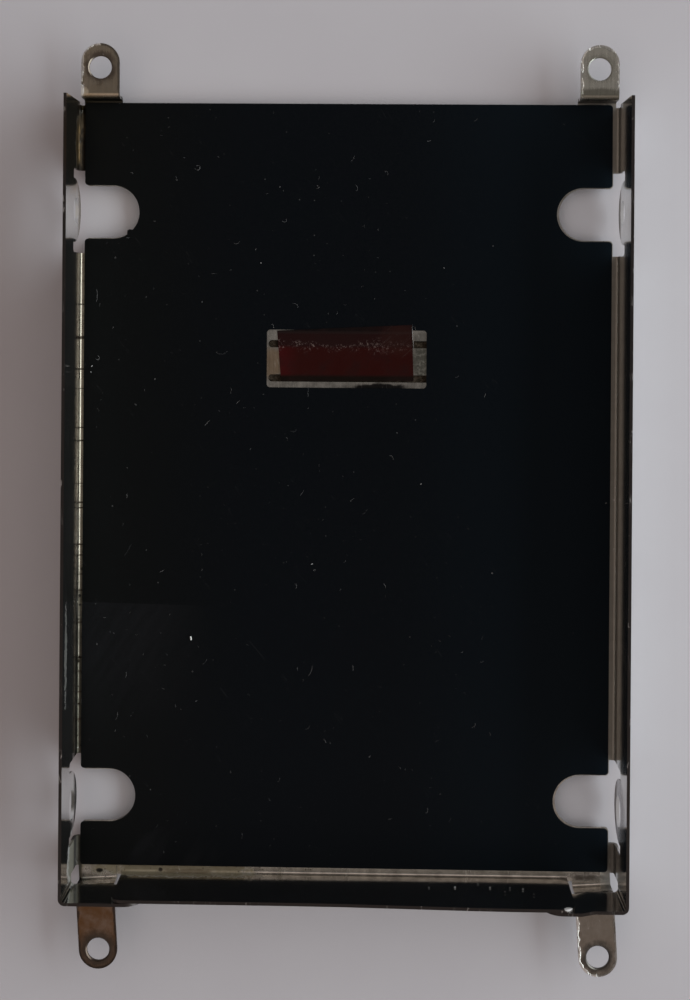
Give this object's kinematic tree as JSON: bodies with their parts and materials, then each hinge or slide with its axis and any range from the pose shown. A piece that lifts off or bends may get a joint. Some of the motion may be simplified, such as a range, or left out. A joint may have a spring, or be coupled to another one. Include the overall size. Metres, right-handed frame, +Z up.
{
  "type": "laptop drive caddy",
  "caption": "Shallow tray folded from thin steel sheet, open at the front, with a film-lined floor, screw lugs in its side walls and stepped fixing ears, to hold a laptop drive.",
  "frame": {"origin": "middle of the tray's underside, halfway between the tips of the front and rear ears", "axes": "+X across the tray to the right seen from above with the open end away from the viewer, +Y towards the open end, +Z up out of the tray"},
  "size_m": [0.071, 0.1196, 0.0099],
  "materials": {
    "steel": "bare rolled stainless sheet, bright inside the walls, with brown glue stains and fine scratches",
    "film": "semi-gloss black insulating film with dust, lint and faint scratches",
    "tape": "glossy dark red-brown tape"
  },
  "bodies": {
    "root": {"tray": "steel", "floor_film": "film", "strap_tape": "tape"}
  },
  "joints": []
}
